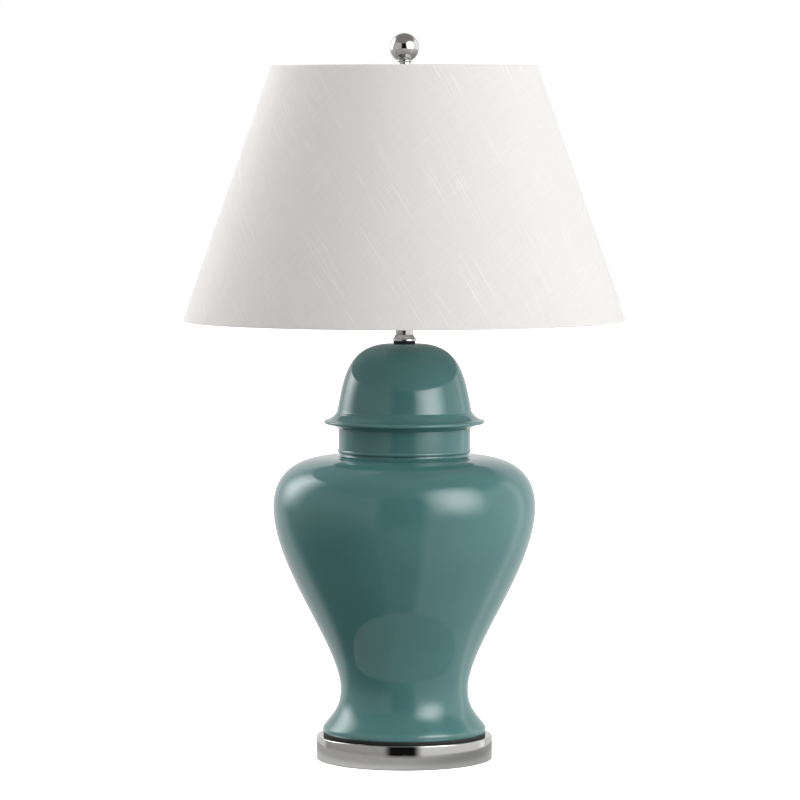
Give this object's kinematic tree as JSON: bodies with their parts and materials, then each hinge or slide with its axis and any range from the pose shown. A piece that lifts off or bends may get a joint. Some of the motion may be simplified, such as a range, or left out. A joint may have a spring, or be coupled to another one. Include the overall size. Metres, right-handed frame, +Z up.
{
  "type": "table lamp with shade",
  "caption": "Table lamp with a lidded teal ceramic jar on a polished metal drum base, a linen empire shade on a harp, and a ball finial.",
  "frame": {"origin": "centre of the base's lowest face, where the lamp stands", "axes": "+Z up the lamp's centre line; the front looks along -Y and the cord inlet is at the back, +Y"},
  "size_m": [0.4599, 0.46, 0.7543],
  "materials": {
    "felt": "matte",
    "hardboard": "matte",
    "polished_nickel": "polished",
    "cast_iron": "matte",
    "zinc_steel": "satin",
    "lamp_brass": "satin",
    "black_plastic": "satin",
    "black_rubber": "matte",
    "teal_glaze": "gloss",
    "chrome": "polished",
    "fibre_sleeve": "matte",
    "aluminium": "satin",
    "black_glass": "gloss",
    "white_plastic": "satin",
    "opal_plastic": "matte",
    "linen": "matte",
    "linen_hem": "matte",
    "styrene_liner": "satin"
  },
  "bodies": {
    "lamp": {"base_felt_pad": "felt", "base_closing_board": "hardboard", "base_shell": "polished_nickel", "base_weight": "cast_iron", "base_flat_washer": "zinc_steel", "base_lock_washer": "zinc_steel", "base_hex_nut": "lamp_brass", "cord_bushing": "black_plastic", "jar_seat_pad": "black_rubber", "jar_body": "teal_glaze", "jar_lid": "teal_glaze", "threaded_rod": "zinc_steel", "lid_washer": "black_rubber", "neck_flange": "chrome", "neck_tube": "chrome", "harp_saddle": "lamp_brass", "harp_wire": "lamp_brass", "harp_top_plate": "lamp_brass", "socket_cap": "lamp_brass", "socket_set_screw": "zinc_steel", "socket_shell": "lamp_brass", "socket_insulator": "fibre_sleeve", "socket_interior": "black_plastic", "socket_screw_shell": "aluminium", "socket_centre_contact": "lamp_brass", "socket_terminal_screws": "lamp_brass"},
    "switch": {"switch_spindle": "lamp_brass", "switch_knob": "black_plastic"},
    "ferrule_left": {"harp_ferrule_left": "lamp_brass"},
    "ferrule_right": {"harp_ferrule_right": "lamp_brass"},
    "shade_swivel": {"harp_swivel_stud": "lamp_brass"},
    "shade": {"shade_fabric": "linen", "shade_liner": "styrene_liner", "shade_top_trim": "linen_hem", "shade_bottom_trim": "linen_hem", "shade_top_ring": "zinc_steel", "shade_bottom_ring": "zinc_steel", "shade_spider_arms": "zinc_steel", "shade_spider_hub": "zinc_steel"},
    "finial_thread": {"finial_insert": "lamp_brass"},
    "finial": {"finial_base": "chrome", "finial_ball": "chrome"},
    "bulb_tip": {"bulb_contact": "zinc_steel"},
    "bulb": {"bulb_insulator": "black_glass", "bulb_screw_cap": "aluminium", "bulb_housing": "white_plastic", "bulb_led_board": "aluminium", "bulb_diffuser": "opal_plastic"}
  },
  "joints": [
    {"name": "switch_turn", "type": "hinge", "parent": "lamp", "child": "switch", "pos_m": [0, -0.04, 0.499], "axis": [0, -1, 0], "continuous": true},
    {"name": "ferrule_left_slide", "type": "slide", "parent": "lamp", "child": "ferrule_left", "axis": [0, 0, 1], "range_m": [0, 0.012]},
    {"name": "ferrule_right_slide", "type": "slide", "parent": "lamp", "child": "ferrule_right", "axis": [0, 0, 1], "range_m": [0, 0.012]},
    {"name": "shade_turn", "type": "hinge", "parent": "lamp", "child": "shade_swivel", "pos_m": [0, 0, 0.7106], "axis": [0, 0, 1], "continuous": true},
    {"name": "shade_lift", "type": "slide", "parent": "shade_swivel", "child": "shade", "axis": [0, 0, 1], "range_m": [0, 0.3]},
    {"name": "finial_rise", "type": "slide", "parent": "shade", "child": "finial_thread", "axis": [0, 0, 1], "range_m": [0, 0.0095]},
    {"name": "finial_turn", "type": "hinge", "parent": "finial_thread", "child": "finial", "pos_m": [0, 0, 0.7387], "axis": [0, 0, 1], "range_deg": [0, 3600]},
    {"name": "bulb_rise", "type": "slide", "parent": "lamp", "child": "bulb_tip", "axis": [0, 0, 1], "range_m": [0, 0.022]},
    {"name": "bulb_turn", "type": "hinge", "parent": "bulb_tip", "child": "bulb", "pos_m": [0, 0, 0.56], "axis": [0, 0, 1], "range_deg": [0, 2160]}
  ],
  "couplings": [
    {"joint": "finial_rise", "follows": "finial_turn", "m_per_rad": 0.00014961},
    {"joint": "bulb_rise", "follows": "bulb_turn", "m_per_rad": 0.00057773}
  ]
}
